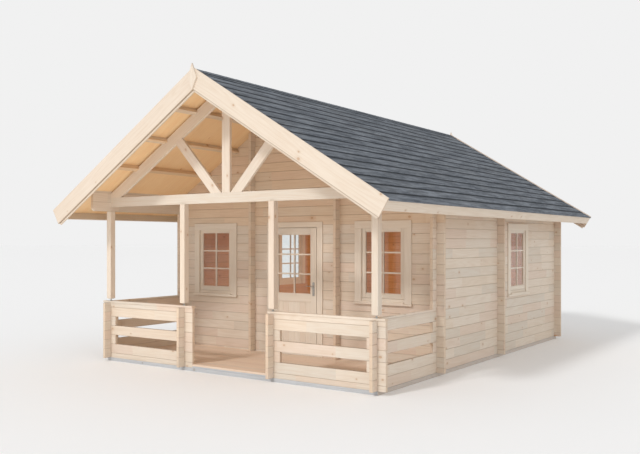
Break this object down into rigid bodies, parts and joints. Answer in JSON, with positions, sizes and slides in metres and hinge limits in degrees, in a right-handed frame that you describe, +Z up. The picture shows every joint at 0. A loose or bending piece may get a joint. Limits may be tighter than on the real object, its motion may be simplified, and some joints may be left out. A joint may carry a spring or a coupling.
{
  "type": "log cabin",
  "caption": "Log cabin with interlocking log walls, a roofed front porch with log rails and a braced gable truss, a shingled gable roof, barred windows and a glazed entrance door on hinges.",
  "frame": {"origin": "on the ground under the middle of the roof, the bottom centre of the bounding box", "axes": "+X across the gable to the right seen from the porch, +Y from the porch to the back wall, +Z up"},
  "size_m": [6.0544, 8.064, 4.2903],
  "materials": {
    "log_wood": "planed spruce logs, untreated, with fine grain and small knots",
    "frame_wood": "planed spruce posts and beams, untreated",
    "trim_wood": "planed spruce boards, pale, with small knots",
    "joinery_wood": "smooth planed spruce joinery",
    "treated_wood": "impregnated beams, weathered blue grey",
    "floor_wood": "planed floor boards",
    "deck_wood": "tongued roof boards, warm",
    "shingle": "mineral felt shingles, dark blue grey",
    "steel": "zinc plated steel",
    "handle_metal": "satin nickel",
    "glass": "clear float glass"
  },
  "bodies": {
    "cabin": {"left_wall": "log_wood", "right_wall": "log_wood", "front_wall_left": "log_wood", "front_wall_right": "log_wood", "front_gable": "log_wood", "back_wall": "log_wood", "front_rail_left": "log_wood", "front_rail_right": "log_wood", "side_rail_left": "log_wood", "side_rail_right": "log_wood", "porch_beams": "log_wood", "tie_beam": "log_wood", "posts": "frame_wood", "king_post": "frame_wood", "struts": "frame_wood", "rafters": "frame_wood", "ridge_purlin": "frame_wood", "purlins_left": "frame_wood", "purlins_right": "frame_wood", "bargeboards_left": "trim_wood", "bargeboards_right": "trim_wood", "ridge_plates": "trim_wood", "eave_boards": "trim_wood", "windows": "joinery_wood", "door_frame": "joinery_wood", "base_beams": "treated_wood", "floor_joists": "treated_wood", "house_floor": "floor_wood", "porch_floor": "floor_wood", "roof_deck_left": "deck_wood", "roof_deck_right": "deck_wood", "shingles_left": "shingle", "shingles_right": "shingle", "ridge_cap": "shingle", "post_screws": "steel", "frame_hinges": "steel", "window_glass": "glass"},
    "door": {"door_leaf": "joinery_wood", "door_glass": "glass", "door_handle": "handle_metal", "leaf_hinges": "steel"}
  },
  "joints": [
    {"name": "door_hinge", "type": "hinge", "parent": "cabin", "child": "door", "pos_m": [-0.4365, -1.75, 1.12], "axis": [0, 0, -1], "range_deg": [0, 110]}
  ]
}
